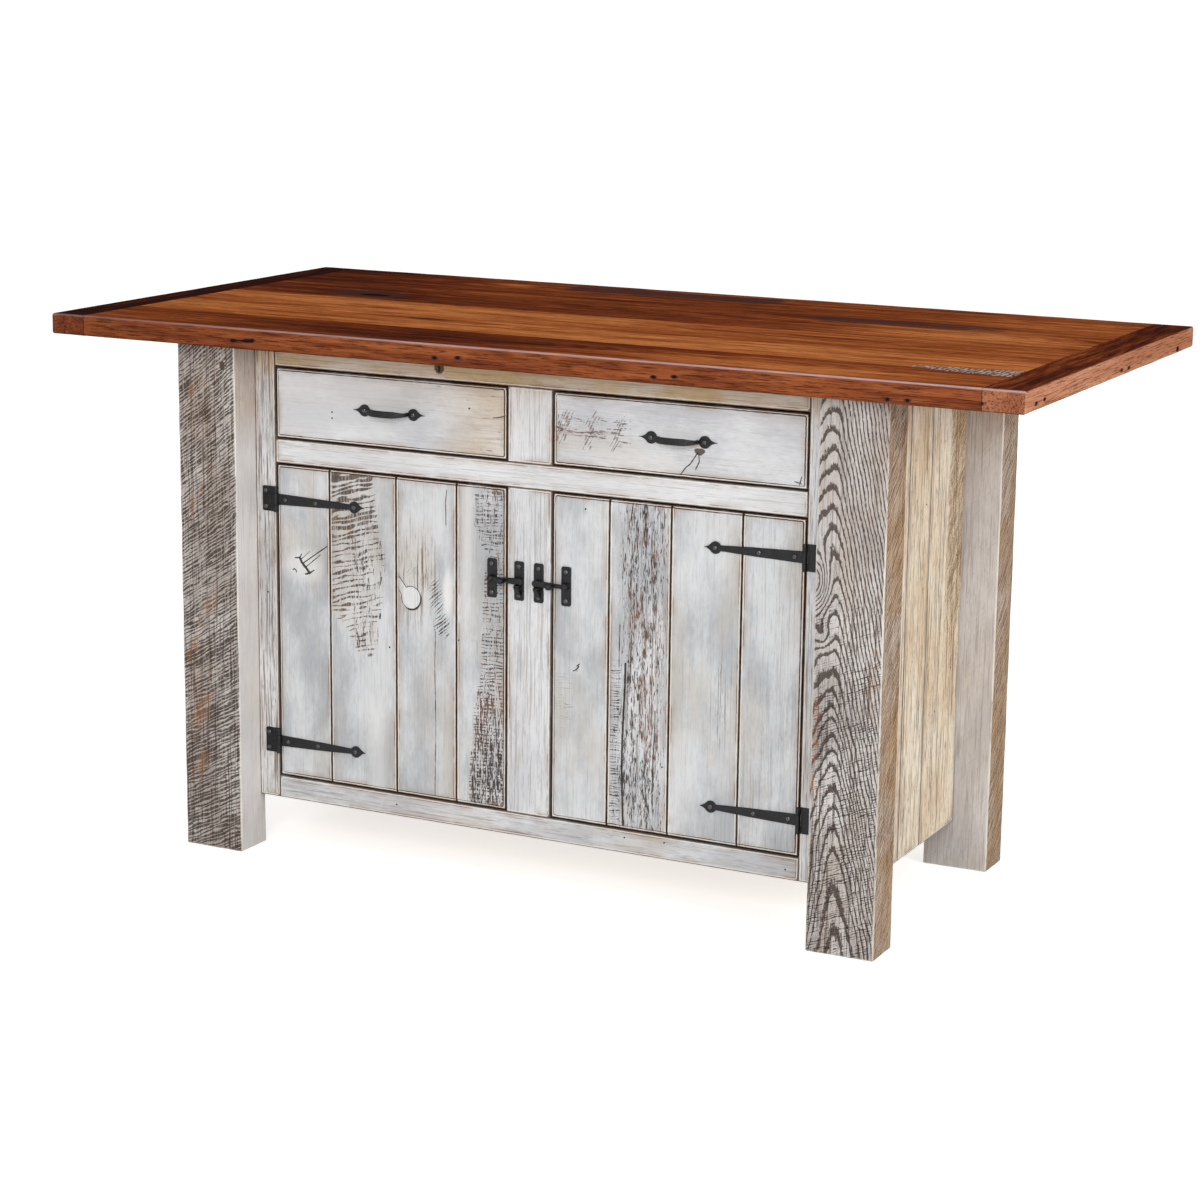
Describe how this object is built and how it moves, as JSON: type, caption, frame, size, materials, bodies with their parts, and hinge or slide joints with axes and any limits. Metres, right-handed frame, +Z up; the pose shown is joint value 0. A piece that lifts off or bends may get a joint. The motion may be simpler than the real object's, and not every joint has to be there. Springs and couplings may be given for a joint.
{
  "type": "kitchen island unit",
  "caption": "Freestanding rustic kitchen island: plank top with breadboard ends on square posts, recessed cabinet with drawers over strap-hinged plank doors and a seating overhang.",
  "frame": {"origin": "on the floor under the middle of the worktop", "axes": "+X to the right along the worktop, +Y to the back, the doors face -Y, +Z up"},
  "size_m": [1.7272, 0.8636, 0.9144],
  "materials": {
    "worktop_stain": "reddish-brown stain under satin varnish",
    "rough_whitewash": "whitewashed rough-sawn weathered wood",
    "whitewashed_wood": "satin whitewash with brown glaze in the joints",
    "tan_boards": "tan glazed whitewash",
    "inside_wood": "clear-finished pine",
    "black_iron": "black hammered iron"
  },
  "bodies": {
    "case": {"top_board_1": "worktop_stain", "top_board_2": "worktop_stain", "top_board_3": "worktop_stain", "top_board_4": "worktop_stain", "top_board_5": "worktop_stain", "breadboard_left": "worktop_stain", "breadboard_right": "worktop_stain", "leg_front_left": "rough_whitewash", "leg_front_right": "rough_whitewash", "leg_rear_left": "rough_whitewash", "leg_rear_right": "rough_whitewash", "stile_left": "whitewashed_wood", "stile_right": "whitewashed_wood", "rail_top": "whitewashed_wood", "rail_middle": "whitewashed_wood", "rail_bottom": "whitewashed_wood", "stile_centre_upper": "whitewashed_wood", "stile_centre_lower": "whitewashed_wood", "side_panel_left": "tan_boards", "side_panel_right": "tan_boards", "back_panel": "tan_boards", "top_cleat_left": "inside_wood", "shelf_cleat_left": "inside_wood", "top_cleat_right": "inside_wood", "shelf_cleat_right": "inside_wood", "cabinet_floor": "inside_wood", "drawer_deck": "inside_wood", "shelf": "inside_wood", "hinge_plate_left_upper": "black_iron", "hinge_plate_left_lower": "black_iron", "keeper_left": "black_iron", "hinge_plate_right_upper": "black_iron", "hinge_plate_right_lower": "black_iron", "keeper_right": "black_iron"},
    "drawer_left": {"drawer_left_front": "whitewashed_wood", "drawer_left_box": "inside_wood", "drawer_left_bottom": "inside_wood", "drawer_left_pull": "black_iron"},
    "door_left": {"door_left_board_1": "whitewashed_wood", "door_left_board_2": "whitewashed_wood", "door_left_board_3": "whitewashed_wood", "door_left_board_4": "whitewashed_wood", "door_left_brace": "whitewashed_wood", "hinge_strap_left_upper": "black_iron", "hinge_strap_left_lower": "black_iron", "latch_plate_left": "black_iron"},
    "latch_left": {"latch_bar_left": "black_iron"},
    "drawer_right": {"drawer_right_front": "whitewashed_wood", "drawer_right_box": "inside_wood", "drawer_right_bottom": "inside_wood", "drawer_right_pull": "black_iron"},
    "door_right": {"door_right_board_1": "whitewashed_wood", "door_right_board_2": "whitewashed_wood", "door_right_board_3": "whitewashed_wood", "door_right_board_4": "whitewashed_wood", "door_right_brace": "whitewashed_wood", "hinge_strap_right_upper": "black_iron", "hinge_strap_right_lower": "black_iron", "latch_plate_right": "black_iron"},
    "latch_right": {"latch_bar_right": "black_iron"}
  },
  "joints": [
    {"name": "drawer_left_slide", "type": "slide", "parent": "case", "child": "drawer_left", "axis": [0, -1, 0], "range_m": [0, 0.3]},
    {"name": "door_left_swing", "type": "hinge", "parent": "case", "child": "door_left", "pos_m": [-0.48445, -0.3291, 0.402], "axis": [0, 0, -1], "range_deg": [0, 110]},
    {"name": "latch_left_lift", "type": "hinge", "parent": "door_left", "child": "latch_left", "pos_m": [-0.0683, -0.3326, 0.522], "axis": [0, -1, 0], "range_deg": [0, 75]},
    {"name": "drawer_right_slide", "type": "slide", "parent": "case", "child": "drawer_right", "axis": [0, -1, 0], "range_m": [0, 0.3]},
    {"name": "door_right_swing", "type": "hinge", "parent": "case", "child": "door_right", "pos_m": [0.48445, -0.3291, 0.402], "axis": [0, 0, 1], "range_deg": [0, 110]},
    {"name": "latch_right_lift", "type": "hinge", "parent": "door_right", "child": "latch_right", "pos_m": [0.0683, -0.3326, 0.522], "axis": [0, 1, 0], "range_deg": [0, 75]}
  ]
}
